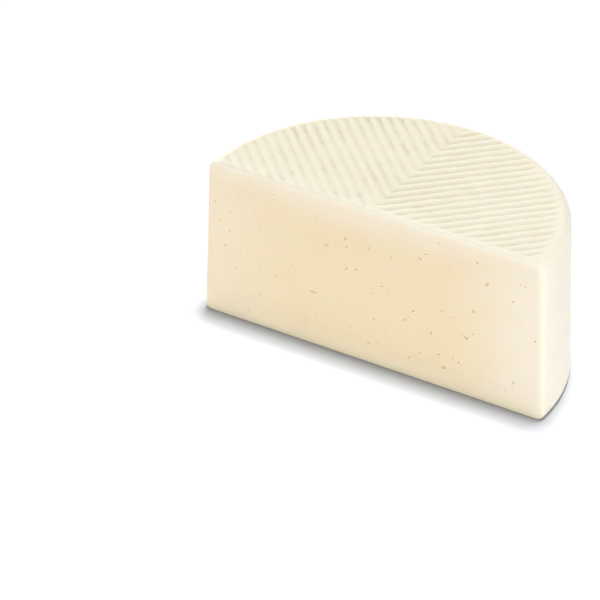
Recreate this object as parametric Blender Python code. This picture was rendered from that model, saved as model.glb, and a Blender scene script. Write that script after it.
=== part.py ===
"""Half wheel of mild young cheese, cut straight down a little past the middle of the wheel.

Metres, +Z up. The origin is the centre of the wheel on its base. The cut face looks along -Y, and
the grooves that the press mat left on top run up and away from a seam close to X = 0.
"""

import math

import bmesh
import bpy
from mathutils import Matrix, Vector

MM = 0.001

# The wheel: a young cheese of about three kilos, a little wider at the base than at the top
TOP_RADIUS = 95.0 * MM
BASE_RADIUS = 98.0 * MM
HEIGHT = 88.3 * MM
CUT_PAST_CENTRE = 4.2 * MM

# Roundings of the soft edges; the left corner of the cut is the sharper one
RIM_ROUNDING = 5.2 * MM
CUT_TOP_ROUNDING = 2.0 * MM
BASE_ROUNDING = 3.0 * MM
CUT_BASE_ROUNDING = 0.5 * MM
RIGHT_CORNER_TOP = 4.0 * MM
RIGHT_CORNER_BASE = 1.8 * MM
LEFT_CORNER = 0.8 * MM

# Grooves on top: two fields of parallel grooves at 45 degrees to the seam, meeting on it
GROOVE_PITCH = 5.56 * MM
GROOVE_DEPTH = 0.8 * MM
GROOVE_NARROWNESS = 2.0
FIRST_GROOVE_ON_SEAM = 1.9 * MM
SEAM_OFFSET = -1.5 * MM

# Larger eyes in the cut face, in millimetres across from the centre, up from the base, long and wide,
# then the turn of the long side in degrees
EYES = (
    (-33.6, 30.7, 5.6, 1.8, -5),
    (-15.2, 67.8, 3.2, 1.8, 80),
    (-14.5, 63.3, 1.8, 1.4, 0),
    (-9.0, 52.1, 2.6, 1.4, 25),
    (-14.5, 51.0, 3.0, 1.8, 0),
    (-1.8, 67.0, 3.8, 2.2, 85),
    (11.3, 66.3, 3.6, 1.5, 65),
    (26.9, 70.4, 3.0, 1.7, -20),
    (30.2, 73.7, 1.8, 1.1, 20),
    (64.6, 68.1, 3.0, 2.3, 60),
    (58.7, 78.5, 2.2, 1.2, -40),
    (79.1, 63.0, 1.9, 1.4, 0),
    (57.6, 50.1, 2.5, 1.6, -40),
    (53.7, 33.7, 4.6, 1.7, -25),
    (57.5, 36.6, 1.7, 1.1, 45),
    (92.1, 44.6, 1.8, 1.1, 30),
    (39.9, 44.3, 1.7, 1.2, 0),
    (6.0, 47.3, 2.1, 1.4, 20),
    (19.4, 32.2, 2.6, 1.7, 40),
    (24.2, 38.9, 2.4, 1.2, 35),
    (34.6, 29.4, 2.7, 1.1, 85),
    (1.5, 26.5, 2.2, 1.3, 75),
    (-1.2, 11.8, 3.2, 1.6, -15),
    (28.8, 15.8, 2.6, 1.8, 50),
    (22.7, 11.0, 3.0, 1.5, 45),
    (41.8, 11.8, 3.2, 2.2, 15),
    (39.1, 18.6, 1.6, 1.2, 0),
    (81.1, 16.7, 1.8, 1.2, 70),
    (-37.6, 12.8, 2.2, 1.3, 30),
    (-26.1, 60.6, 3.4, 0.9, 15),
)
EYE_DEPTH = 1.3 * MM

# Fineness of the solid
ARC_STEPS = 95
CUT_STEPS = 15
CORNER_STEPS = 5
RIM_STEPS = 6
BASE_STEPS = 4
WALL_STEPS = 4
STEPS_PER_GROOVE = 8

# The block stands this much taller than the ridges, so that the press mat shapes all of its top
ROOF_MARGIN = 0.3 * MM


def edge_inset(depth, rounding):
    """How far a rounded edge draws the skin in, at a depth below the plane that the edge ends on."""
    if depth >= rounding:
        return 0.0
    return rounding - math.sqrt(rounding**2 - (rounding - depth) ** 2)


def rounded_corner(radius, cut, rounding):
    """Where the middle of a corner's rounding lies along the cut, and the angle at which it meets the arc."""
    middle = math.sqrt((radius - rounding) ** 2 - (cut + rounding) ** 2)
    return middle, math.atan2(cut + rounding, middle)


def arc(middle, radius, start, end, steps):
    """Points after the start of an arc, up to its end."""
    angles = [start + (end - start) * i / steps for i in range(1, steps + 1)]
    return [middle + radius * Vector((math.cos(angle), math.sin(angle))) for angle in angles]


def outline(radius, cut, right_rounding, left_rounding):
    """Half disc seen from above, counter-clockwise, with rounded corners between the cut and the arc."""
    right, right_turn = rounded_corner(radius, cut, right_rounding)
    left, left_turn = rounded_corner(radius, cut, left_rounding)
    quarter = math.pi / 2
    points = [Vector((-left + (left + right) * i / CUT_STEPS, cut)) for i in range(CUT_STEPS + 1)]
    points += arc(Vector((right, cut + right_rounding)), right_rounding, -quarter, right_turn, CORNER_STEPS)
    points += arc(Vector((0.0, 0.0)), radius, right_turn, math.pi - left_turn, ARC_STEPS)
    left_middle = Vector((-left, cut + left_rounding))
    points += arc(left_middle, left_rounding, math.pi - left_turn, 3 * quarter, CORNER_STEPS)[:-1]
    return points


def levels():
    """Heights of the outlines that the block is lofted through, closest together at its rounded edges."""
    roof = HEIGHT + ROOF_MARGIN
    for i in range(BASE_STEPS + 1):
        yield BASE_ROUNDING * (1 - math.cos(math.pi / 2 * i / BASE_STEPS))
    wall = roof - RIM_ROUNDING - BASE_ROUNDING
    for i in range(1, WALL_STEPS):
        yield BASE_ROUNDING + wall * i / WALL_STEPS
    for i in range(RIM_STEPS + 1):
        yield roof - RIM_ROUNDING * (1 - math.sin(math.pi / 2 * i / RIM_STEPS))


def outline_at(height):
    """The block's outline at a height, from the slope of its side and the rounding of its edges."""
    up = height / HEIGHT
    below_roof = HEIGHT + ROOF_MARGIN - height
    rim = edge_inset(below_roof, RIM_ROUNDING) + edge_inset(height, BASE_ROUNDING)
    cut = edge_inset(below_roof, CUT_TOP_ROUNDING) + edge_inset(height, CUT_BASE_ROUNDING)
    radius = BASE_RADIUS + (TOP_RADIUS - BASE_RADIUS) * up - rim
    right_rounding = RIGHT_CORNER_BASE + (RIGHT_CORNER_TOP - RIGHT_CORNER_BASE) * up
    return outline(radius, cut - CUT_PAST_CENTRE, right_rounding, LEFT_CORNER)


def block_mesh():
    """The half wheel before its top is pressed and its eyes are opened."""
    bm = bmesh.new()
    loops = [[bm.verts.new((p.x, p.y, height)) for p in outline_at(height)] for height in levels()]
    for lower, upper in zip(loops, loops[1:]):
        for i, vert in enumerate(lower):
            following = (i + 1) % len(lower)
            bm.faces.new((vert, lower[following], upper[following], upper[i]))
    bm.faces.new(list(reversed(loops[0])))
    bm.faces.new(loops[-1])
    return finished(bm, "half_wheel")


def groove(phase):
    """The groove pattern over one turn of the phase, from 0 on a ridge to 1 in the groove."""
    return (0.5 + 0.5 * math.cos(2 * math.pi * phase)) ** GROOVE_NARROWNESS


def press_mat_mesh():
    """Ribbed mat whose underside leaves the grooves, bent along the seam into two fields."""
    reach = BASE_RADIUS + 5 * MM
    seam_pitch = GROOVE_PITCH * math.sqrt(2)
    first = math.floor(-(CUT_PAST_CENTRE + reach + FIRST_GROOVE_ON_SEAM) / seam_pitch)
    last = math.ceil((reach - FIRST_GROOVE_ON_SEAM) / seam_pitch)
    bm = bmesh.new()
    rows = []
    for step in range(first * STEPS_PER_GROOVE, last * STEPS_PER_GROOVE + 1):
        phase = step / STEPS_PER_GROOVE
        y = FIRST_GROOVE_ON_SEAM + seam_pitch * phase
        z = HEIGHT - GROOVE_DEPTH * groove(phase)
        across = (-reach, 0.0, reach)
        rows.append([bm.verts.new((SEAM_OFFSET + x, y + abs(x), z)) for x in across])
    for near, far in zip(rows, rows[1:]):
        for i in range(2):
            bm.faces.new((near[i], far[i], far[i + 1], near[i + 1]))
    lid = bmesh.ops.extrude_face_region(bm, geom=list(bm.faces))
    for vert in (item for item in lid["geom"] if isinstance(item, bmesh.types.BMVert)):
        vert.co.z = HEIGHT + 5 * MM
    return finished(bm, "press_mat")


def eyes_mesh():
    """Small flattened bubbles, half sunk in the cut face, one for each eye."""
    bm = bmesh.new()
    for across, up, length, width, turn in EYES:
        place = Matrix.Translation((across * MM, -CUT_PAST_CENTRE, up * MM))
        tilt = Matrix.Rotation(math.radians(-turn), 4, "Y")
        size = Matrix.Diagonal((length * MM / 2, EYE_DEPTH, width * MM / 2, 1.0))
        bmesh.ops.create_icosphere(bm, subdivisions=2, radius=1.0, matrix=place @ tilt @ size)
    return finished(bm, "eyes")


def finished(bm, name):
    """The mesh of a closed shape, with its faces turned outwards and its round parts shaded smooth."""
    bmesh.ops.recalc_face_normals(bm, faces=list(bm.faces))
    mesh = bpy.data.meshes.new(name)
    bm.to_mesh(mesh)
    bm.free()
    mesh.shade_smooth()
    mesh.set_sharp_from_angle(angle=math.radians(40))
    return mesh


def cheese_material():
    """Pale cream paste, matt and slightly moist."""
    material = bpy.data.materials.new("cheese")
    material.use_nodes = True
    shader = material.node_tree.nodes["Principled BSDF"]
    shader.inputs["Base Color"].default_value = (0.87, 0.77, 0.56, 1.0)
    shader.inputs["Roughness"].default_value = 0.55
    shader.inputs["Metallic"].default_value = 0.0
    material.diffuse_color = (0.87, 0.77, 0.56, 1.0)
    return material


def placed(mesh):
    item = bpy.data.objects.new(mesh.name, mesh)
    bpy.context.scene.collection.objects.link(item)
    return item


def cut_away(item, cutter):
    """Takes the cutter's shape out of the item and keeps the cutter as a hidden guide."""
    cutter.hide_render = True
    cutter.display_type = "WIRE"
    boolean = item.modifiers.new(cutter.name, "BOOLEAN")
    boolean.operation = "DIFFERENCE"
    boolean.solver = "EXACT"
    boolean.object = cutter


def clear_scene():
    for item in list(bpy.data.objects):
        bpy.data.objects.remove(item)


def build():
    clear_scene()
    half_wheel = placed(block_mesh())
    half_wheel.data.materials.append(cheese_material())
    cut_away(half_wheel, placed(press_mat_mesh()))
    cut_away(half_wheel, placed(eyes_mesh()))


build()
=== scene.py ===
"""Half wheel of mild young cheese on a white table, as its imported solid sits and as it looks.

Metres, +Z up. The cut face looks along -Y and the round side is on +Y.
"""

import math

import bpy
from mathutils import Matrix, Vector


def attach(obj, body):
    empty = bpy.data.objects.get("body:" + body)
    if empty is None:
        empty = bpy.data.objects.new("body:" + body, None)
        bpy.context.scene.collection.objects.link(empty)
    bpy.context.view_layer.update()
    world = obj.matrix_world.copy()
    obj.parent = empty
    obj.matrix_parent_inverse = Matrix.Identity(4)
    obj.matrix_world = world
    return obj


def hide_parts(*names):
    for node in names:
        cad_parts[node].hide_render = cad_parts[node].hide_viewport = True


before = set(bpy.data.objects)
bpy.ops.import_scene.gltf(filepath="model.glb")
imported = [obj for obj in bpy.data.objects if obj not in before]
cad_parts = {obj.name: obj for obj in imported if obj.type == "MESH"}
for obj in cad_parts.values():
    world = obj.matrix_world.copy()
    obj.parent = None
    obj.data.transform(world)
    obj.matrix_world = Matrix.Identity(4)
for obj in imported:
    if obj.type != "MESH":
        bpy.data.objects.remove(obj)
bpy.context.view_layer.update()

MM = 0.001

VIEW_TURN = math.radians(31.44)
VIEW_DROP = math.radians(32.61)
VIEW_TILT = math.radians(0.26)
VIEW_DISTANCE = 1864.1 * MM
VIEW_CENTRE = Vector((-43.97, 0.0, 20.05)) * MM
LENS_LENGTH = 222.0
FILM_WIDTH = 36.0
NEAREST_SEEN = 0.1
FURTHEST_SEEN = 20.0


def stand_camera():
    """Sets the camera up on its stand."""
    back = Vector((
        math.sin(VIEW_TURN) * math.cos(VIEW_DROP),
        -math.cos(VIEW_TURN) * math.cos(VIEW_DROP),
        math.sin(VIEW_DROP),
    ))
    level = back.cross(Vector((0.0, 0.0, -1.0))).normalized()
    upright = back.cross(level)
    across = math.cos(VIEW_TILT) * level + math.sin(VIEW_TILT) * upright
    up = math.cos(VIEW_TILT) * upright - math.sin(VIEW_TILT) * level
    place = Matrix((across, up, back)).transposed().to_4x4()
    place.translation = VIEW_CENTRE + back * VIEW_DISTANCE
    lens = bpy.data.cameras.new("camera")
    lens.sensor_width = FILM_WIDTH
    lens.lens = LENS_LENGTH
    lens.clip_start = NEAREST_SEEN
    lens.clip_end = FURTHEST_SEEN
    stand = bpy.data.objects.new("camera", lens)
    stand.matrix_world = place
    bpy.context.scene.collection.objects.link(stand)
    bpy.context.scene.camera = stand


stand_camera()

# The table is a wide sheet under a lamp of its own, which keeps it white and the shadow on it short;
# the cheese is lit by white walls all round, and by soft boxes low behind it on the left, behind it,
# above it on the right, and low in front of it on the right
TABLE_SIZE = 6.0
TABLE_COLOUR = (0.345, 0.352, 0.365, 1.0)
TABLE_LAMP_SIZE = 0.36
WALL_BRIGHTNESS = 0.60
LIGHT_SIZE = 0.8
LIGHT_DISTANCE = 2.2
LIT_PLACE = Vector((0.0, 0.03, 0.04))


def soft_box(name, turn, rise, watts, size=LIGHT_SIZE, only=None):
    """A square soft light, turned from the front to the right and raised, both in degrees.

    It lights everything, or only the object that it is given.
    """
    turn, rise = math.radians(turn), math.radians(rise)
    towards = Vector((math.sin(turn) * math.cos(rise), -math.cos(turn) * math.cos(rise), math.sin(rise)))
    lamp = bpy.data.lights.new(name, "AREA")
    lamp.shape = "SQUARE"
    lamp.size = size
    lamp.energy = watts
    box = bpy.data.objects.new(name, lamp)
    box.location = LIT_PLACE + towards * LIGHT_DISTANCE
    box.rotation_euler = towards.to_track_quat("Z", "Y").to_euler()
    bpy.context.scene.collection.objects.link(box)
    if only:
        lit = bpy.data.collections.new(f"lit by {name}")
        lit.objects.link(only)
        box.light_linking.receiver_collection = lit


def white_walls():
    """Even white light from all sides."""
    walls = bpy.data.worlds.new("walls")
    walls.use_nodes = True
    walls.node_tree.nodes["Background"].inputs["Color"].default_value = (1.0, 1.0, 1.0, 1.0)
    walls.node_tree.nodes["Background"].inputs["Strength"].default_value = WALL_BRIGHTNESS
    bpy.context.scene.world = walls


def table():
    """A flat sheet that the cheese stands on."""
    half = TABLE_SIZE / 2
    corners = [(-half, -half, 0), (half, -half, 0), (half, half, 0), (-half, half, 0)]
    sheet = bpy.data.meshes.new("table")
    sheet.from_pydata(corners, [], [(0, 1, 2, 3)])
    paint = bpy.data.materials.new("white table")
    paint.use_nodes = True
    shader = paint.node_tree.nodes["Principled BSDF"]
    shader.inputs["Base Color"].default_value = TABLE_COLOUR
    shader.inputs["Roughness"].default_value = 1.0
    shader.inputs["Specular IOR Level"].default_value = 0.0
    sheet.materials.append(paint)
    floor = bpy.data.objects.new("table", sheet)
    bpy.context.scene.collection.objects.link(floor)
    return floor


floor = table()
soft_box("low_behind_left", turn=225, rise=12, watts=17.0)
soft_box("behind", turn=200, rise=35, watts=6.0)
soft_box("above_right", turn=90, rise=60, watts=13.5)
soft_box("low_in_front", turn=25, rise=4, watts=16.0)
soft_box("table_lamp", turn=182, rise=85.6, watts=108.0, size=TABLE_LAMP_SIZE, only=floor)
white_walls()
bpy.context.scene.view_settings.view_transform = "Standard"

# The half wheel is one block of pressed curd, turned out of a round mould that is a little wider
# at the foot, and then cut straight down; its edges have settled round
import numpy as np

TOP_RADIUS = 95.0 * MM
BASE_RADIUS = 98.0 * MM
HEIGHT = 88.3 * MM
CUT_PAST_CENTRE = 4.2 * MM
RIM_ROUNDING = 5.2 * MM
CUT_TOP_ROUNDING = 2.0 * MM
BASE_ROUNDING = 3.0 * MM
CUT_BASE_ROUNDING = 0.25 * MM
RIGHT_CORNER_TOP = 4.0 * MM
RIGHT_CORNER_BASE = 1.2 * MM
LEFT_CORNER = 0.8 * MM
CUT_STEPS = 330
SIDE_STEPS = 172
WALL_STEPS = 8
EDGE_STEPS = 8
ARC_POINTS = 400


def edge_inset(depth, rounding):
    """How far a rounded edge draws the skin in, at a depth below the plane that the edge ends on."""
    if depth >= rounding:
        return 0.0
    return rounding - math.sqrt(rounding**2 - (rounding - depth) ** 2)


def arc(middle, radius, start, end):
    """Closely spaced points of an arc, with both of its ends."""
    angles = np.linspace(start, end, ARC_POINTS)
    return np.stack((middle[0] + radius * np.cos(angles), middle[1] + radius * np.sin(angles)), axis=1)


def spaced(line, steps):
    """The line divided evenly into steps."""
    run = np.concatenate(([0.0], np.cumsum(np.linalg.norm(np.diff(line, axis=0), axis=1))))
    at = np.linspace(0.0, run[-1], steps + 1)
    return np.stack((np.interp(at, run, line[:, 0]), np.interp(at, run, line[:, 1])), axis=1)


def corner(radius, cut, rounding):
    """Where the middle of a corner's rounding lies along the cut, and the angle at which it meets the arc."""
    middle = math.sqrt((radius - rounding) ** 2 - (cut + rounding) ** 2)
    return middle, math.atan2(cut + rounding, middle)


def outline(radius, cut, right_rounding, left_rounding):
    """Half disc seen from above in four sides: the cut, the right, the back and the left."""
    right, right_turn = corner(radius, cut, right_rounding)
    left, left_turn = corner(radius, cut, left_rounding)
    right_middle, left_middle = (right, cut + right_rounding), (-left, cut + left_rounding)
    right_split, left_split = (right_turn - math.pi / 2) / 2, math.pi + (math.pi / 2 - left_turn) / 2
    third = math.pi / 3
    cut_side = np.concatenate((
        arc(left_middle, left_rounding, left_split, 3 * math.pi / 2),
        arc(right_middle, right_rounding, -math.pi / 2, right_split),
    ))
    right_side = np.concatenate((
        arc(right_middle, right_rounding, right_split, right_turn),
        arc((0.0, 0.0), radius, right_turn, third),
    ))
    back_side = arc((0.0, 0.0), radius, third, 2 * third)
    left_side = np.concatenate((
        arc((0.0, 0.0), radius, 2 * third, math.pi - left_turn),
        arc(left_middle, left_rounding, math.pi - left_turn, left_split),
    ))
    steps = (CUT_STEPS, SIDE_STEPS, CUT_STEPS, SIDE_STEPS)
    return [spaced(side, count) for side, count in zip((cut_side, right_side, back_side, left_side), steps)]


def outline_at(height):
    """The block's outline at a height, from the slope of its side and the rounding of its edges."""
    up = height / HEIGHT
    rim = edge_inset(HEIGHT - height, RIM_ROUNDING) + edge_inset(height, BASE_ROUNDING)
    cut = edge_inset(HEIGHT - height, CUT_TOP_ROUNDING) + edge_inset(height, CUT_BASE_ROUNDING)
    radius = BASE_RADIUS + (TOP_RADIUS - BASE_RADIUS) * up - rim
    right_rounding = RIGHT_CORNER_BASE + (RIGHT_CORNER_TOP - RIGHT_CORNER_BASE) * up
    return outline(radius, cut - CUT_PAST_CENTRE, right_rounding, LEFT_CORNER)


def levels():
    """Heights of the outlines, closest together at the rounded edges."""
    for i in range(EDGE_STEPS + 1):
        yield BASE_ROUNDING * (1 - math.cos(math.pi / 2 * i / EDGE_STEPS))
    wall = HEIGHT - RIM_ROUNDING - BASE_ROUNDING
    for i in range(1, WALL_STEPS):
        yield BASE_ROUNDING + wall * i / WALL_STEPS
    for i in range(EDGE_STEPS + 1):
        yield HEIGHT - RIM_ROUNDING * (1 - math.sin(math.pi / 2 * i / EDGE_STEPS))


def spread(sides):
    """A net of points that fills the outline evenly, row by row from the cut to the back."""
    cut, right, back, left = sides[0], sides[1], sides[2][::-1], sides[3][::-1]
    u = np.linspace(0.0, 1.0, CUT_STEPS + 1)[None, :, None]
    v = np.linspace(0.0, 1.0, SIDE_STEPS + 1)[:, None, None]
    across = (1 - v) * cut[None] + v * back[None]
    along = (1 - u) * left[:, None] + u * right[:, None]
    corners = (1 - u) * ((1 - v) * cut[0] + v * back[0]) + u * ((1 - v) * cut[-1] + v * back[-1])
    return across + along - corners


def block_mesh():
    """The skin of the block: outlines stacked from the foot to the rim, closed by a net on top."""
    points, faces = [], []
    around = 2 * (CUT_STEPS + SIDE_STEPS)
    heights = list(levels())
    for height in heights:
        ring = np.concatenate([side[:-1] for side in outline_at(height)])
        points += [(x, y, height) for x, y in ring]
    for level in range(len(heights) - 1):
        low, high = level * around, (level + 1) * around
        for i in range(around):
            following = (i + 1) % around
            faces.append((low + i, low + following, high + following, high + i))
    faces.append(tuple(reversed(range(around))))
    net = spread(outline_at(HEIGHT))
    start = (len(heights) - 1) * around
    index = np.zeros(net.shape[:2], int)
    index[0, :] = start + np.arange(CUT_STEPS + 1)
    index[:, -1] = start + CUT_STEPS + np.arange(SIDE_STEPS + 1)
    index[-1, ::-1] = start + CUT_STEPS + SIDE_STEPS + np.arange(CUT_STEPS + 1)
    index[1:, 0] = start + around - np.arange(1, SIDE_STEPS + 1)
    inner = len(points) + np.arange((SIDE_STEPS - 1) * (CUT_STEPS - 1))
    index[1:-1, 1:-1] = inner.reshape(SIDE_STEPS - 1, CUT_STEPS - 1)
    points += [(x, y, HEIGHT) for x, y in net[1:-1, 1:-1].reshape(-1, 2)]
    corners = (index[:-1, :-1], index[:-1, 1:], index[1:, 1:], index[1:, :-1])
    faces += [tuple(face) for face in np.stack(corners, axis=-1).reshape(-1, 4).tolist()]
    mesh = bpy.data.meshes.new("half_wheel_of_cheese")
    mesh.from_pydata(points, [], faces)
    mesh.validate()
    return mesh


cheese = bpy.data.objects.new("half_wheel_of_cheese", block_mesh())
bpy.context.scene.collection.objects.link(cheese)

# The paste is pale cream, fine and a little translucent, and whiter next to the skin; painted shade keeps the
# left of the cut less pale. The skin is whiter at the edges, partly dried and partly painted highlight,
# greyer with painted shade on the far rim, and ochre with painted shade down in the pressed grooves; painted
# light lightens the foot
PASTE = (0.858, 0.705, 0.46, 1.0)
PASTE_BY_SKIN = (0.895, 0.80, 0.645, 1.0)
# Paste at the foot: partly paler by the skin, partly painted light against the table's shade
PASTE_LIT_AT_FOOT = (0.98, 0.85, 0.62, 1.0)
# Painted highlight on the eyes' lips
LIP_HIGHLIGHT = (0.97, 0.90, 0.76, 1.0)
SKIN_ON_TOP = (0.845, 0.785, 0.61, 1.0)
SKIN_ON_SIDE = (0.90, 0.835, 0.695, 1.0)
SKIN_AT_BACK = (0.72, 0.66, 0.52, 1.0)
# Colour of the edge skin: partly dried rind, partly painted highlight
EDGE_SKIN_AND_HIGHLIGHT = (0.95, 0.90, 0.76, 1.0)
# Painted shade on the far rim
SHADED_FAR_RIM = (0.80, 0.785, 0.70, 1.0)
# Groove colour: partly an ochre trace, partly painted shade in the grooves
GROOVE_TINT_AND_SHADE = (0.72, 0.66, 0.42, 1.0)

TRANSLUCENCY = 0.25
GLOW_DEPTH = 3 * MM
GLOW_BY_COLOUR = (1.0, 0.5, 0.22)

# Each change of tone: where it starts, where it ends, and the share of the tone at both
SKIN_BEHIND_CUT = (0.1 * MM, 1.8 * MM, 0.0, 1.0)
SKIN_UNDER_TOP = (0.2 * MM, 1.4 * MM, 1.0, 0.0)
PALER_BY_SIDE = (0.0, 60 * MM, 1.0, 0.0)
# Painted shade: the left of the cut is kept less pale
PAINTED_SHADE_FADES_TO_RIGHT = (-50 * MM, 30 * MM, 0.4, 1.0)
PALER_UNDER_TOP = (0.0, 22 * MM, 0.8, 0.0)
# The paste takes the edge skin's colour at the top edge and the right corner: partly dried, partly painted
# highlight, kept to the right where the light falls
DRIED_AND_HIGHLIT_BY_SIDE = (0.0, 4 * MM, 0.6, 0.0)
PASTE_HIGHLIGHT_TO_RIGHT = (-40 * MM, 20 * MM, 0.0, 1.0)
DRIED_AND_HIGHLIT_UNDER_TOP = (0.0, 3.4 * MM, 0.9, 0.0)
# Painted light on the foot of the cut, with paste paler by the skin
PAINTED_LIGHT_ON_PASTE_AT_FOOT = (0.0, 12 * MM, 0.75, 0.0)
TOP_TO_SIDE = (1.5 * MM, 7 * MM, 1.0, 0.0)
SIDE_TO_BACK = (62 * MM, 92 * MM, 0.0, 1.0)
# The skin whitens by the cut and the rim: partly dried, partly painted highlight, stronger to the right and
# fading to the back, where the light falls
WHITE_BY_CUT = (1 * MM, 4.5 * MM, 0.3, 0.0)
WHITE_BEHIND_CUT = (0.0, 26 * MM, 0.3, 0.0)
CUT_EDGE_HIGHLIGHT_TO_RIGHT = (-50 * MM, 30 * MM, 0.6, 1.0)
WHITE_ON_TOP_BY_CUT = (1 * MM, 4 * MM, 0.4, 0.0)
WHITE_BY_RIM = (3 * MM, 9 * MM, 0.9, 0.0)
RIM_HIGHLIGHT_TO_BACK = (30 * MM, 80 * MM, 1.0, 0.0)
TOP_HIGHLIGHT_TO_RIGHT = (-10 * MM, 60 * MM, 0.0, 1.0)
# Painted light on the foot of the skin
PAINTED_LIGHT_ON_SKIN_AT_FOOT = (0.0, 14 * MM, 0.7, 0.0)
# Painted shade on the far rim, towards the back
SHADE_BY_RIM = (0.0, 5 * MM, 0.5, 0.0)
SHADE_TO_BACK = (10 * MM, 50 * MM, 0.0, 1.0)

# Each pattern: the size of its spots, and the same four numbers for how strong it is
CLOUD_SIZE = 24 * MM
CLOUD = (0.3, 0.7, 0.0, 1.0)
CLOUD_IN_PASTE = 0.15
CLOUD_AT_BACK = 0.2
MOTTLE_SIZE = 6 * MM
MOTTLE_IN_SKIN = 0.2
GROOVE_SPOT_SIZE = 7 * MM
GROOVE_SPOTS = (0.5, 0.72, 0.05, 0.5)
GRAIN_SIZE = 1.1 * MM
GRAIN_HEIGHT = 0.03 * MM
GRAIN_ROUGHNESS = (0.2, 0.8, 0.42, 0.58)
# Share of painted highlight on the eyes' lips
LIP_HIGHLIGHT_SHARE = 0.45
# Least painted highlight on the right of the top, away from the rim
LEAST_HIGHLIGHT_ON_RIGHT = 0.35


class Wire:
    """An output of a node, on which arithmetic adds Math nodes, or Vector Math nodes for a vector."""

    def __init__(self, net, socket):
        self.net = net
        self.socket = socket

    def joined(self, operation, *others, turned=False):
        kind = "ShaderNodeVectorMath" if self.socket.type in ("VECTOR", "RGBA") else "ShaderNodeMath"
        operands = (*others, self) if turned else (self, *others)
        return self.net.node(kind, {"operation": operation}, dict(enumerate(operands)))

    def __add__(self, other):
        return self.joined("ADD", other)

    def __radd__(self, other):
        return self.joined("ADD", other)

    def __sub__(self, other):
        return self.joined("SUBTRACT", other)

    def __rsub__(self, other):
        return self.joined("SUBTRACT", other, turned=True)

    def __mul__(self, other):
        return self.joined("MULTIPLY", other)

    def __rmul__(self, other):
        return self.joined("MULTIPLY", other)

    def __truediv__(self, other):
        return self.joined("DIVIDE", other)

    def __pow__(self, other):
        return self.joined("POWER", other)

    def __abs__(self):
        return self.joined("ABSOLUTE")

    def or_more(self, other):
        """The larger of the two."""
        return self.joined("MAXIMUM", other)

    def scaled(self, share):
        """The vector, longer or shorter."""
        return self.net.node("ShaderNodeVectorMath", {"operation": "SCALE"}, {"Vector": self, "Scale": share})

    def ramp(self, start, end, low=0.0, high=1.0):
        """Goes smoothly from low to high as the value goes from start to end."""
        settings = {"interpolation_type": "SMOOTHSTEP"}
        return self.net.node("ShaderNodeMapRange", settings, {0: self, 1: start, 2: end, 3: low, 4: high})

    def parts(self):
        """The three parts of a vector."""
        split = self.net.node("ShaderNodeSeparateXYZ", {}, {0: self}).socket.node
        return [Wire(self.net, output) for output in split.outputs]


class Net:
    """A tree of nodes, of a material or of a modifier."""

    def __init__(self, tree):
        self.tree = tree

    def node(self, kind, settings, inputs, output=0):
        """Adds a node, sets it up, fills or links its inputs, and gives one of its outputs."""
        made = self.tree.nodes.new(kind)
        for name, value in settings.items():
            setattr(made, name, value)
        for name, value in inputs.items():
            if isinstance(value, Wire):
                self.tree.links.new(value.socket, made.inputs[name])
            elif isinstance(value, list):
                for wire in value:
                    self.tree.links.new(wire.socket, made.inputs[name])
            else:
                made.inputs[name].default_value = value
        return Wire(self, made.outputs[output]) if made.outputs else None

    def noise(self, place, size, detail=2.0, roughness=0.5, output=0):
        """Cloudy pattern whose spots are about as large as the size."""
        inputs = {"Vector": place, "Scale": 1 / size, "Detail": detail, "Roughness": roughness}
        return self.node("ShaderNodeTexNoise", {}, inputs, output)


class Finish(Net):
    """A material, with its shader and its place on the piece."""

    def __init__(self, name, roughness):
        self.material = bpy.data.materials.new(name)
        self.material.use_nodes = True
        super().__init__(self.material.node_tree)
        self.shader = self.tree.nodes["Principled BSDF"]
        self.shader.inputs["Roughness"].default_value = roughness
        self.shader.inputs["Subsurface Weight"].default_value = TRANSLUCENCY
        self.shader.inputs["Subsurface Radius"].default_value = GLOW_BY_COLOUR
        self.shader.inputs["Subsurface Scale"].default_value = GLOW_DEPTH
        self.place = self.node("ShaderNodeTexCoord", {}, {}, "Object")

    def blended(self, first, second, share):
        """Goes from the first colour to the second as the share goes from 0 to 1."""
        settings = {"data_type": "RGBA", "clamp_factor": True}
        return self.node("ShaderNodeMix", settings, {0: share, 6: first, 7: second}, 2)

    def bumped(self, height, distance):
        """The surface's normal, with a pattern raised on it."""
        return self.node("ShaderNodeBump", {}, {"Height": height, "Distance": distance, "Strength": 1.0})

    def marked(self, label):
        """What the mesh says of a place under the label."""
        return self.node("ShaderNodeAttribute", {"attribute_name": label}, {}, "Fac")

    def feed(self, label, wire):
        """Leads the wire to one of the shader's inputs."""
        self.tree.links.new(wire.socket, self.shader.inputs[label])


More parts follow.
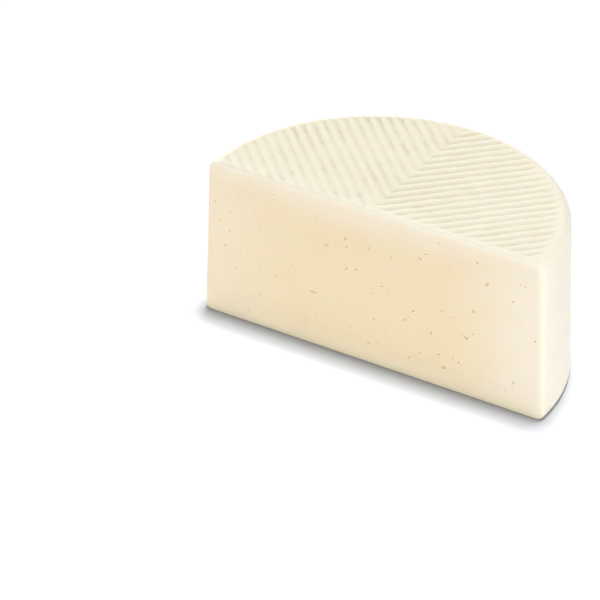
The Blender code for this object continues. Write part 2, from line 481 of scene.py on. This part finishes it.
def paste_and_skin():
    """Cream paste on the cut, and pale skin everywhere else, told apart by the distance behind the cut, with
    painted light and shade.
    """
    finish = Finish("paste_and_skin", 0.5)
    x, y, z = finish.place.parts()
    from_cut = y + CUT_PAST_CENTRE
    from_side = BASE_RADIUS - (BASE_RADIUS - TOP_RADIUS) / HEIGHT * z - (x * x + y * y) ** 0.5
    from_top = HEIGHT - z
    cloud = finish.noise(finish.place, CLOUD_SIZE).ramp(*CLOUD)

    # Paler by the side and under the top; painted shade keeps the left of the cut less pale
    paler_with_left_shade = from_side.ramp(*PALER_BY_SIDE) * x.ramp(*PAINTED_SHADE_FADES_TO_RIGHT)
    paler_with_left_shade = paler_with_left_shade.or_more(from_top.ramp(*PALER_UNDER_TOP))
    paste = finish.blended(PASTE, PASTE_BY_SKIN, paler_with_left_shade + (cloud - 0.5) * CLOUD_IN_PASTE)
    # Dried edge and painted highlight, on the top edge and the right corner
    dried_and_highlit = from_side.ramp(*DRIED_AND_HIGHLIT_BY_SIDE) * x.ramp(*PASTE_HIGHLIGHT_TO_RIGHT)
    dried_and_highlit = dried_and_highlit.or_more(from_top.ramp(*DRIED_AND_HIGHLIT_UNDER_TOP))
    paste = finish.blended(paste, EDGE_SKIN_AND_HIGHLIGHT, dried_and_highlit)
    # Painted light at the foot of the cut, with paste paler by the skin
    paste = finish.blended(paste, PASTE_LIT_AT_FOOT, z.ramp(*PAINTED_LIGHT_ON_PASTE_AT_FOOT))
    # Painted highlight on the eyes' lips
    paste = finish.blended(paste, LIP_HIGHLIGHT, finish.marked("kind") * LIP_HIGHLIGHT_SHARE)

    on_top = from_top.ramp(*TOP_TO_SIDE)
    at_back = y.ramp(*SIDE_TO_BACK) + (cloud - 0.5) * CLOUD_AT_BACK
    side = finish.blended(SKIN_ON_SIDE, SKIN_AT_BACK, at_back)
    skin = finish.blended(side, SKIN_ON_TOP, on_top)
    # Whiter by the cut and the rim, partly dried and partly painted highlight, and painted light at the foot
    highlit_by_cut = from_cut.ramp(*WHITE_BY_CUT) + from_cut.ramp(*WHITE_BEHIND_CUT)
    highlit_by_cut = highlit_by_cut * x.ramp(*CUT_EDGE_HIGHLIGHT_TO_RIGHT) + from_cut.ramp(*WHITE_ON_TOP_BY_CUT) * on_top
    highlit_by_rim = from_side.ramp(*WHITE_BY_RIM) * y.ramp(*RIM_HIGHLIGHT_TO_BACK)
    highlight_on_right = on_top * x.ramp(*TOP_HIGHLIGHT_TO_RIGHT) * highlit_by_rim.or_more(LEAST_HIGHLIGHT_ON_RIGHT)
    whiter_and_painted_light = highlit_by_cut.or_more(highlight_on_right).or_more(z.ramp(*PAINTED_LIGHT_ON_SKIN_AT_FOOT))
    skin = finish.blended(skin, EDGE_SKIN_AND_HIGHLIGHT, whiter_and_painted_light)
    # Painted shade on the far rim
    painted_far_shade = from_side.ramp(*SHADE_BY_RIM) * on_top * y.ramp(*SHADE_TO_BACK)
    skin = finish.blended(skin, SHADED_FAR_RIM, painted_far_shade)
    mottle = finish.noise(finish.place, MOTTLE_SIZE, 3.0) - 0.5
    spots = finish.noise(finish.place, GROOVE_SPOT_SIZE, 1.0).ramp(*GROOVE_SPOTS)
    # Ochre and painted shade in the grooves and stitches, with random mottle
    tint_and_shade = finish.marked("pressed") * spots + mottle * MOTTLE_IN_SKIN
    skin = finish.blended(skin, GROOVE_TINT_AND_SHADE, tint_and_shade)

    skin_share = from_cut.ramp(*SKIN_BEHIND_CUT).or_more(from_top.ramp(*SKIN_UNDER_TOP))
    finish.feed("Base Color", finish.blended(paste, skin, skin_share))
    grain = finish.noise(finish.place, GRAIN_SIZE, 3.0, 0.6)
    finish.feed("Roughness", grain.ramp(*GRAIN_ROUGHNESS))
    finish.feed("Normal", finish.bumped(grain, GRAIN_HEIGHT))
    return finish.material


# The press mat's ribs left the grooves on top while the curd was warm: two fields of straight grooves
# that meet on a seam and stop short of the edges, with small stitches of the mat here and there
GROOVE_PITCH = 5.56 * MM
GROOVE_DEPTH = 0.62 * MM
LEFT_NARROWNESS = 4.5
RIGHT_NARROWNESS = 2.4
FIRST_GROOVE = 1.9 * MM
RIGHT_FIELD_LAG = 0.5 * MM
SEAM_OFFSET = -1.5 * MM
ACROSS_SLANT = math.sqrt(2)

# The grooves waver and end raggedly, and they are worn in some places more than in others
WAVE_SIZE = 12 * MM
RAGGED_SIZE = 4 * MM
WEAR_SIZE = 9 * MM
WEAR = (0.25, 0.75, 0.65, 1.25)
CUT_MARGIN_ON_RIGHT = 2.4 * MM
CUT_FADE = 1.8 * MM
LONGER_FADE_ON_RIGHT = 1.5 * MM
RIM_MARGIN_TO_RIGHT = (-20 * MM, 60 * MM, 1 * MM, 4 * MM)
RIM_FADE_TO_RIGHT = (0.0, 60 * MM, 2 * MM, 7 * MM)
TOP_FADE = 1.5 * MM
STITCHED_PATCH_SIZE = 17 * MM
STITCHED_PATCHES = (0.5, 0.62, 0.0, 1.0)
FEWER_STITCHES_ON_RIGHT = 0.8
# Share of ochre and painted shade in the stitches
STITCH_TINT_AND_SHADE = 0.6

# Between its edges the top has sunk a little, and unevenly
SWELL_SIZE = 26 * MM
SUNK_SHARE = 0.8
SUNK_BEHIND_CUT = (0.0, 12 * MM, 0.0, 1.0)
SUNK_INSIDE_RIM = (2 * MM, 14 * MM, 0.0, 1.0)


class Shaping(Net):
    """A modifier's tree, with named inputs, that reshapes the piece it is put on."""

    KINDS = {
        float: "NodeSocketFloat",
        int: "NodeSocketInt",
        bpy.types.Object: "NodeSocketObject",
        bpy.types.Material: "NodeSocketMaterial",
    }

    def __init__(self, name, sizes):
        super().__init__(bpy.data.node_groups.new(name, "GeometryNodeTree"))
        self.tree.interface.new_socket("Geometry", in_out="INPUT", socket_type="NodeSocketGeometry")
        self.tree.interface.new_socket("Geometry", in_out="OUTPUT", socket_type="NodeSocketGeometry")
        self.sizes = sizes
        for label, value in sizes.items():
            self.tree.interface.new_socket(label, in_out="INPUT", socket_type=self.KINDS[type(value)])
        self.entry = self.tree.nodes.new("NodeGroupInput")

    def given(self, label):
        """One of the tree's named inputs."""
        return Wire(self, self.entry.outputs[label])

    def stored(self, geometry, kind, domain, label, value):
        """The geometry, with a value kept on its points or faces under the label."""
        settings = {"data_type": kind, "domain": domain}
        inputs = {"Geometry": geometry, "Name": label, "Value": value}
        return self.node("GeometryNodeStoreNamedAttribute", settings, inputs)

    def finish(self, geometry, material, where=True):
        """Ends the tree: the geometry is made real, and its faces, or some of them, get the material."""
        real = self.node("GeometryNodeRealizeInstances", {}, {0: geometry})
        inputs = {"Geometry": real, "Selection": where, "Material": self.given(material)}
        self.node("NodeGroupOutput", {}, {0: self.node("GeometryNodeSetMaterial", {}, inputs)})

    def applied(self, piece):
        """Puts the tree on the piece, and turns the result into its plain mesh."""
        modifier = piece.modifiers.new(self.tree.name, "NODES")
        modifier.node_group = self.tree
        for item in self.tree.interface.items_tree:
            if item.in_out == "INPUT" and item.name in self.sizes:
                modifier[item.identifier] = self.sizes[item.name]
        bpy.context.view_layer.update()
        evaluated = piece.evaluated_get(bpy.context.evaluated_depsgraph_get())
        plain = bpy.data.meshes.new_from_object(evaluated)
        piece.modifiers.clear()
        plain.name = piece.name
        piece.data = plain


def pressed_grooves():
    """The tree that presses the mat's ribs into the top, and leaves the rest of the skin slightly uneven."""
    tree = Shaping("press_mat", {
        "Pitch": GROOVE_PITCH, "Depth": GROOVE_DEPTH, "Left narrowness": LEFT_NARROWNESS,
        "Narrower on left": LEFT_NARROWNESS - RIGHT_NARROWNESS,
        "First groove": FIRST_GROOVE, "Right lag": RIGHT_FIELD_LAG, "Seam": SEAM_OFFSET, "Top": HEIGHT,
        "Waviness": 1.2 * MM, "Unevenness": 0.5 * MM, "Ragged ends": 3.0 * MM,
        "Stitch length": 1.9 * MM, "Stitch depth": 0.35 * MM, "Skin": paste_and_skin(),
    })
    place = tree.node("GeometryNodeInputPosition", {}, {})
    x, y, z = place.parts()
    off_seam = abs(x - tree.given("Seam"))
    on_right = (x - tree.given("Seam")).joined("GREATER_THAN", 0.0)
    from_cut = y + CUT_PAST_CENTRE
    from_rim = TOP_RADIUS - (x * x + y * y) ** 0.5

    wave = (tree.noise(place, WAVE_SIZE) - 0.5) * tree.given("Waviness")
    run = y - off_seam + wave - on_right * tree.given("Right lag") - tree.given("First groove")
    phase = run / (tree.given("Pitch") * ACROSS_SLANT) * math.tau
    narrowness = tree.given("Left narrowness") - on_right * tree.given("Narrower on left")
    groove = (phase.joined("COSINE") * 0.5 + 0.5) ** narrowness

    ragged = (tree.noise(place, RAGGED_SIZE) - 0.5) * tree.given("Ragged ends")
    behind_cut = from_cut + ragged - on_right * CUT_MARGIN_ON_RIGHT
    behind_cut = behind_cut.ramp(0.0, CUT_FADE + on_right * LONGER_FADE_ON_RIGHT)
    inside_rim = from_rim + ragged - x.ramp(*RIM_MARGIN_TO_RIGHT)
    inside_rim = inside_rim.ramp(0.0, x.ramp(*RIM_FADE_TO_RIGHT))
    on_top = z.ramp(tree.given("Top") - TOP_FADE, tree.given("Top"))
    reach = behind_cut * inside_rim * on_top
    pressed = groove * tree.noise(place, WEAR_SIZE).ramp(*WEAR) * reach

    along = (y + off_seam) / (tree.given("Stitch length") * ACROSS_SLANT) * math.tau
    stitch = along.joined("COSINE") * 0.5 + 0.5
    patches = tree.noise(place, STITCHED_PATCH_SIZE).ramp(*STITCHED_PATCHES)
    patches = patches * (1.0 - on_right * FEWER_STITCHES_ON_RIGHT)
    stitched = stitch * groove * reach * patches

    inland = from_cut.ramp(*SUNK_BEHIND_CUT) * from_rim.ramp(*SUNK_INSIDE_RIM) * on_top
    uneven = (tree.noise(place, SWELL_SIZE) - SUNK_SHARE) * tree.given("Unevenness") * inland
    drop = uneven - pressed * tree.given("Depth") - stitched * tree.given("Stitch depth")
    lift = tree.node("ShaderNodeCombineXYZ", {}, {2: drop})
    moved = tree.node("GeometryNodeSetPosition", {}, {"Geometry": tree.given("Geometry"), "Offset": lift})
    # The kept groove mask paints ochre and shade into the grooves
    kept = tree.stored(moved, "FLOAT", "POINT", "pressed", pressed + stitched * STITCH_TINT_AND_SHADE)
    tree.finish(kept, "Skin")
    return tree


pressed_grooves().applied(cheese)

# The eyes are small openings between the curd grains that the knife laid open, up to a few millimetres
# long and of every shape, with walls of darker, ochre paste; the knife left a low lip by the larger ones
EYES = (
    (-33.6, 30.7, 5.6, 1.8, -5),
    (-15.2, 67.8, 3.2, 1.8, 80),
    (-14.5, 63.3, 1.8, 1.4, 0),
    (-9.0, 52.1, 2.6, 1.4, 25),
    (-14.5, 51.0, 3.0, 1.8, 0),
    (-1.8, 67.0, 3.8, 2.2, 85),
    (11.3, 66.3, 3.6, 1.5, 65),
    (26.9, 70.4, 3.0, 1.7, -20),
    (30.2, 73.7, 1.8, 1.1, 20),
    (64.6, 68.1, 3.0, 2.3, 60),
    (58.7, 78.5, 2.2, 1.2, -40),
    (79.1, 63.0, 1.9, 1.4, 0),
    (57.6, 50.1, 2.5, 1.6, -40),
    (53.7, 33.7, 4.6, 1.7, -25),
    (57.5, 36.6, 1.7, 1.1, 45),
    (92.1, 44.6, 1.8, 1.1, 30),
    (39.9, 44.3, 1.7, 1.2, 0),
    (6.0, 47.3, 2.1, 1.4, 20),
    (19.4, 32.2, 2.6, 1.7, 40),
    (24.2, 38.9, 2.4, 1.2, 35),
    (34.6, 29.4, 2.7, 1.1, 85),
    (1.5, 26.5, 2.2, 1.3, 75),
    (-1.2, 11.8, 3.2, 1.6, -15),
    (28.8, 15.8, 2.6, 1.8, 50),
    (22.7, 11.0, 3.0, 1.5, 45),
    (41.8, 11.8, 3.2, 2.2, 15),
    (39.1, 18.6, 1.6, 1.2, 0),
    (81.1, 16.7, 1.8, 1.2, 70),
    (-37.6, 12.8, 2.2, 1.3, 30),
    (-26.1, 60.6, 3.4, 0.9, 15),
)
SMALL_EYES = (
    (-77.8, 71.9), (-56.7, 80.2), (-56.7, 77.5), (-38.7, 59.8), (-48.1, 54.6), (-31.4, 42.1), (-23.9, 42.1),
    (-26.4, 34.5), (0.4, 41.6), (2.7, 56.3), (7.8, 21.5), (-12.2, 17.4), (-16.4, 13.7), (4.0, 13.6),
    (-31.7, 19.0), (-43.6, 6.6), (46.7, 42.7), (43.3, 69.3), (37.3, 82.4), (82.6, 73.7), (85.4, 73.4),
    (84.4, 51.3), (80.3, 14.8), (76.6, 10.0), (54.5, 4.3), (47.0, 18.9), (50.3, 17.7), (9.3, 45.8),
    (21.6, 35.0), (-32.2, 73.4),
)
SMALLEST_EYE = (0.8 * MM, 0.6 * MM, 0.7 * MM)
LARGEST_SMALL_EYE = (2.0 * MM, 1.0 * MM, 1.1 * MM)
EYE_DEPTH = 0.65 * MM
EYE_SHARE = 0.88
EYE_SPOT_SIZE = 1.5 * MM
EYE_WALL = (0.86, 0.71, 0.43, 1.0)
WALL_PATCH_SIZE = 0.8 * MM
WALL_PATCHES = (0.45, 0.8, 0.0, 0.6)
WALL_RELIEF = 0.05 * MM
OTHER_EYES_MIDDLE = (-69 * MM, -CUT_PAST_CENTRE, 36 * MM)
OTHER_EYES_PER_AREA = 9000.0
LIP_WIDER = 1.25
LIP_HIGHER = 1.35
LIP_SHIFT = (0.3 * MM, 0.0, -0.22 * MM)
LIP_RAGGEDNESS = 0.3
STEEP_FOLD = math.radians(50)

# What a face of the mesh belongs to, where it isn't skin or the flat of the cut
IN_LIP = 1
IN_EYE = 2


def eye_wall():
    """Moist ochre paste, darker in patches."""
    finish = Finish("eye_wall", 0.35)
    patches = finish.noise(finish.place, WALL_PATCH_SIZE)
    finish.feed("Base Color", finish.blended(EYE_WALL, PASTE, patches.ramp(*WALL_PATCHES)))
    finish.feed("Normal", finish.bumped(patches, WALL_RELIEF))
    return finish.material


def marked(name, places):
    """Points on the plane of the cut, as an object."""
    mesh = bpy.data.meshes.new(name)
    mesh.from_pydata([(x * MM, -CUT_PAST_CENTRE, z * MM) for x, z in places], [], [])
    marks = bpy.data.objects.new(name, mesh)
    bpy.context.scene.collection.objects.link(marks)
    return marks


def eye_marks():
    """A point where each larger eye opens, which knows how long, wide and turned the eye is."""
    marks = marked("eye_marks", [(x, z) for x, z, *_ in EYES])
    marks.data.attributes.new("eye size", "FLOAT_VECTOR", "POINT")
    marks.data.attributes.new("eye turn", "FLOAT", "POINT")
    for i, (_, _, length, width, turn) in enumerate(EYES):
        size = (EYE_SHARE * length * MM, 2 * EYE_DEPTH, EYE_SHARE * width * MM)
        marks.data.attributes["eye size"].data[i].vector = size
        marks.data.attributes["eye turn"].data[i].value = math.radians(-turn)
    return marks


def opened_eyes(marks, small_marks):
    """The tree that raises the lips, blows a bubble at each mark and takes the bubbles out of the piece."""
    tree = Shaping("eyes", {
        "Marks": marks, "Small marks": small_marks, "Raggedness": 0.9, "Seed": 5, "Wall": eye_wall(),
        "Lip height": 0.15 * MM,
        "Other eyes width": 48 * MM, "Other eyes height": 66 * MM, "Other eyes apart": 7 * MM,
    })

    def points(label):
        mesh = tree.node("GeometryNodeObjectInfo", {}, {"Object": tree.given(label)}, "Geometry")
        return tree.node("GeometryNodeMeshToPoints", {}, {"Mesh": mesh})

    def named(kind, label):
        return tree.node("GeometryNodeInputNamedAttribute", {"data_type": kind}, {"Name": label})

    field = tree.node("GeometryNodeMeshGrid", {}, {
        "Size X": tree.given("Other eyes width"), "Size Y": tree.given("Other eyes height"),
    })
    field = tree.node("GeometryNodeTransform", {}, {
        "Geometry": field, "Rotation": (math.pi / 2, 0.0, 0.0), "Translation": OTHER_EYES_MIDDLE,
    })
    others = tree.node("GeometryNodeDistributePointsOnFaces", {"distribute_method": "POISSON"}, {
        "Mesh": field, "Distance Min": tree.given("Other eyes apart"), "Density Max": OTHER_EYES_PER_AREA,
        "Seed": tree.given("Seed"),
    })
    small = tree.node("GeometryNodeJoinGeometry", {}, {0: [points("Small marks"), others]})
    small_sizes = tree.node("FunctionNodeRandomValue", {"data_type": "FLOAT_VECTOR"}, {
        0: SMALLEST_EYE, 1: LARGEST_SMALL_EYE, "Seed": tree.given("Seed"),
    })
    small_turns = tree.node("FunctionNodeRandomValue", {"data_type": "FLOAT"}, {
        2: -math.pi / 2, 3: math.pi / 2, "Seed": tree.given("Seed"),
    }, 1)
    small = tree.stored(small, "FLOAT_VECTOR", "POINT", "eye size", small_sizes)
    small = tree.stored(small, "FLOAT", "POINT", "eye turn", small_turns)
    size, turn = named("FLOAT_VECTOR", "eye size"), named("FLOAT", "eye turn")
    tilt = tree.node("ShaderNodeCombineXYZ", {}, {1: turn})
    ball = tree.node("GeometryNodeMeshIcoSphere", {}, {"Radius": 0.5, "Subdivisions": 3})

    def balls(points, scale, offset, amount):
        """A ragged ball at each point, of the eye's shape times the scale."""
        instances = tree.node("GeometryNodeInstanceOnPoints", {}, {
            "Points": points, "Instance": ball, "Scale": size * scale, "Rotation": tilt,
        })
        solid = tree.node("GeometryNodeRealizeInstances", {}, {"Geometry": instances})
        place = tree.node("GeometryNodeInputPosition", {}, {})
        ragged = tree.noise(place, EYE_SPOT_SIZE, output="Color") - (0.5, 0.5, 0.5)
        shift = ragged.scaled(size.parts()[2] * amount) + offset
        return tree.node("GeometryNodeSetPosition", {}, {"Geometry": solid, "Offset": shift})

    every = tree.node("GeometryNodeJoinGeometry", {}, {0: [points("Marks"), small]})
    flat = tree.node("ShaderNodeCombineXYZ", {}, {
        0: LIP_WIDER, 1: tree.given("Lip height") / EYE_DEPTH, 2: LIP_HIGHER,
    })
    lips = balls(points("Marks"), flat, LIP_SHIFT, LIP_RAGGEDNESS)
    lips = tree.stored(lips, "INT", "FACE", "kind", IN_LIP)
    lipped = tree.node("GeometryNodeMeshBoolean", {"operation": "UNION", "solver": "MANIFOLD"}, {
        "Mesh 2": [tree.given("Geometry"), lips],
    })
    hollows = balls(every, (1.0, 1.0, 1.0), (0.0, 0.0, 0.0), tree.given("Raggedness"))
    hollows = tree.stored(hollows, "INT", "FACE", "kind", IN_EYE)
    opened = tree.node("GeometryNodeMeshBoolean", {"operation": "DIFFERENCE", "solver": "MANIFOLD"}, {
        "Mesh 1": lipped, "Mesh 2": hollows,
    })
    in_eye = named("INT", "kind").joined("GREATER_THAN", (IN_LIP + IN_EYE) / 2)
    tree.finish(opened, "Wall", in_eye)
    return tree


def sharpened(mesh):
    """Smooth skin, with sharp edges at steep folds and round each eye and lip."""
    mesh.shade_smooth()
    mesh.set_sharp_from_angle(angle=STEEP_FOLD)
    kinds, sizes = np.empty(len(mesh.polygons), int), np.empty(len(mesh.polygons), int)
    edges, sharp = np.empty(len(mesh.loops), int), np.empty(len(mesh.edges), bool)
    mesh.attributes["kind"].data.foreach_get("value", kinds)
    mesh.polygons.foreach_get("loop_total", sizes)
    mesh.loops.foreach_get("edge_index", edges)
    mesh.attributes["sharp_edge"].data.foreach_get("value", sharp)
    least, most = np.full(len(sharp), IN_EYE), np.zeros(len(sharp), int)
    np.minimum.at(least, edges, np.repeat(kinds, sizes))
    np.maximum.at(most, edges, np.repeat(kinds, sizes))
    mesh.attributes["sharp_edge"].data.foreach_set("value", sharp | (least != most))


marks, small_marks = eye_marks(), marked("small_eye_marks", SMALL_EYES)
opened_eyes(marks, small_marks).applied(cheese)
bpy.data.objects.remove(marks)
bpy.data.objects.remove(small_marks)
sharpened(cheese.data)

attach(cheese, "root")
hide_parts("half_wheel")
